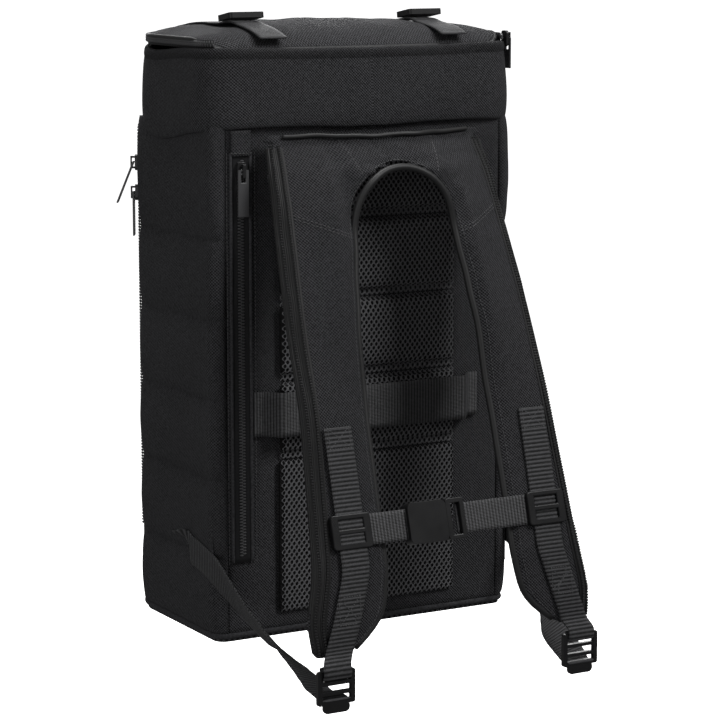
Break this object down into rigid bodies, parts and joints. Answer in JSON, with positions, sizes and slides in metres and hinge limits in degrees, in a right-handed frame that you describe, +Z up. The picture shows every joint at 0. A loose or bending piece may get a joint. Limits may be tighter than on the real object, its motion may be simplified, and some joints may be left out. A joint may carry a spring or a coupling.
{
  "type": "racket backpack",
  "caption": "Boxy racket backpack with a hooded collar, zipped lid, zipped front door, side zip, mesh back pads, luggage strap and a padded harness with a chest strap.",
  "frame": {"origin": "the point of the carry loop that hangs on a hook: the middle of the loop's lower edge", "axes": "+Z up, -Y towards the wearer, +X to the right seen from the wearer's side"},
  "size_m": [0.3164, 0.3391, 0.5464],
  "materials": {
    "pack_fabric": "plain-woven polyester, matt black",
    "harness_fabric": "plain-woven polyester over foam, matt black",
    "mesh": "spacer mesh with staggered oval holes, black",
    "webbing": "ribbed nylon webbing, black",
    "binding": "stitched edge tape, black",
    "lining": "coated lining cloth, dark grey",
    "buckle_plastic": "moulded acetal, semi-matt black",
    "zip_tape": "zip tape, black",
    "zip_teeth": "moulded zip chain, black",
    "zip_metal": "black painted die-cast zinc",
    "pull_rubber": "moulded pull, matt black",
    "board": "stiff polyethylene board"
  },
  "bodies": {
    "bag": {"side_panel_left": "pack_fabric", "side_panel_right": "pack_fabric", "front_lower_panel": "pack_fabric", "back_cover": "pack_fabric", "bottom_panel": "pack_fabric", "front_zip_tape": "zip_tape", "front_zip_teeth": "zip_teeth", "collar": "pack_fabric", "lid_zip_teeth": "zip_teeth", "back_board": "board", "laptop_sleeve": "lining", "divider_wall": "lining", "base_board": "board", "mesh_pad_1": "mesh", "mesh_pad_2": "mesh", "mesh_pad_3": "mesh", "mesh_pad_4": "mesh", "mesh_panel_lower": "mesh", "luggage_strap": "webbing", "side_zip_tape": "zip_tape", "side_zip_teeth": "zip_teeth", "zip_garage": "pack_fabric", "anchor_gusset_left": "pack_fabric", "anchor_gusset_right": "pack_fabric", "lower_webbing_left": "webbing", "lower_webbing_right": "webbing"},
    "lid": {"lid_panel": "pack_fabric", "gear_strap_left": "webbing", "gear_strap_right": "webbing", "gear_buckle_left": "buckle_plastic", "gear_buckle_right": "buckle_plastic"},
    "front_door": {"front_door": "pack_fabric"},
    "harness": {"shoulder_strap_left": "harness_fabric", "shoulder_strap_right": "harness_fabric", "strap_binding_left": "binding", "strap_binding_right": "binding", "yoke_bridge": "harness_fabric", "strap_webbing_left": "webbing", "strap_webbing_right": "webbing", "lock_loop_left": "webbing", "lock_loop_right": "webbing"},
    "lock_left": {"ladder_lock_left": "buckle_plastic"},
    "lock_right": {"ladder_lock_right": "buckle_plastic"},
    "chest_left": {"chest_slider_left": "buckle_plastic", "chest_webbing_left": "webbing", "buckle_socket": "buckle_plastic"},
    "chest_right": {"chest_slider_right": "buckle_plastic", "chest_webbing_right": "webbing"},
    "chest_plug": {"buckle_plug": "buckle_plastic"},
    "side_zip_slider_body": {"side_zip_slider": "zip_metal"},
    "side_zip_pull_body": {"side_zip_pull": "pull_rubber"},
    "front_zip_upper_slider_body": {"front_zip_upper_slider": "zip_metal"},
    "front_zip_upper_pull_body": {"front_zip_upper_pull": "pull_rubber"},
    "front_zip_lower_slider_body": {"front_zip_lower_slider": "zip_metal"},
    "front_zip_lower_pull_body": {"front_zip_lower_pull": "pull_rubber"},
    "lid_zip_slider_body": {"lid_zip_slider": "zip_metal"},
    "lid_zip_pull_body": {"lid_zip_pull": "pull_rubber"}
  },
  "joints": [
    {"name": "lid_hinge", "type": "hinge", "parent": "bag", "child": "lid", "pos_m": [0, 0.0565, 0.1025], "axis": [1, 0, 0], "range_deg": [0, 105]},
    {"name": "front_door_hinge", "type": "hinge", "parent": "bag", "child": "front_door", "pos_m": [0, 0.2315, -0.328], "axis": [-1, 0, 0], "range_deg": [0, 70]},
    {"name": "harness_swing", "type": "hinge", "parent": "bag", "child": "harness", "pos_m": [0, 0.0545, 0.026], "axis": [-1, 0, 0], "range_deg": [0, 30], "deforming": ["lower_webbing_left", "lower_webbing_right"]},
    {"name": "lock_tilt_left", "type": "hinge", "parent": "harness", "child": "lock_left", "pos_m": [-0.117, -0.0968, -0.392], "axis": [-1, 0, 0], "range_deg": [-15, 35]},
    {"name": "lock_tilt_right", "type": "hinge", "parent": "harness", "child": "lock_right", "pos_m": [0.117, -0.0968, -0.392], "axis": [-1, 0, 0], "range_deg": [-15, 35]},
    {"name": "chest_height_left", "type": "slide", "parent": "harness", "child": "chest_left", "axis": [0, 0.2726, 0.9621], "range_m": [-0.012, 0.06]},
    {"name": "chest_height_right", "type": "slide", "parent": "harness", "child": "chest_right", "axis": [0, 0.2726, 0.9621], "range_m": [-0.012, 0.06]},
    {"name": "chest_buckle_release", "type": "slide", "parent": "chest_right", "child": "chest_plug", "axis": [1, 0, 0], "range_m": [0, 0.032], "deforming": ["chest_webbing_right"]},
    {"name": "side_zip_slide", "type": "slide", "parent": "bag", "child": "side_zip_slider_body", "axis": [0, 0, -1], "range_m": [0, 0.315]},
    {"name": "side_zip_pull_flip", "type": "hinge", "parent": "side_zip_slider_body", "child": "side_zip_pull_body", "pos_m": [-0.12, 0.0526, -0.004], "axis": [-1, 0, 0], "range_deg": [0, 150]},
    {"name": "front_zip_upper_slide", "type": "slide", "parent": "bag", "child": "front_zip_upper_slider_body", "axis": [0, 0, 1], "range_m": [0, 0.018]},
    {"name": "front_zip_upper_pull_flip", "type": "hinge", "parent": "front_zip_upper_slider_body", "child": "front_zip_upper_pull_body", "pos_m": [-0.14367, 0.21525, -0.008], "axis": [0.5, 0.866, 0], "range_deg": [0, 115]},
    {"name": "front_zip_lower_slide", "type": "slide", "parent": "bag", "child": "front_zip_lower_slider_body", "axis": [0, 0, -1], "range_m": [0, 0.28]},
    {"name": "front_zip_lower_pull_flip", "type": "hinge", "parent": "front_zip_lower_slider_body", "child": "front_zip_lower_pull_body", "pos_m": [-0.14367, 0.21525, -0.034], "axis": [0.5, 0.866, 0], "range_deg": [0, 35]},
    {"name": "lid_zip_slide", "type": "slide", "parent": "bag", "child": "lid_zip_slider_body", "axis": [0, 1, 0], "range_m": [0, 0.1]},
    {"name": "lid_zip_pull_flip", "type": "hinge", "parent": "lid_zip_slider_body", "child": "lid_zip_pull_body", "pos_m": [0.1547, 0.0815, 0.0975], "axis": [0, -1, 0], "range_deg": [0, 150]}
  ],
  "couplings": [
    {"joint": "chest_height_right", "follows": "chest_height_left", "ratio": 1}
  ]
}
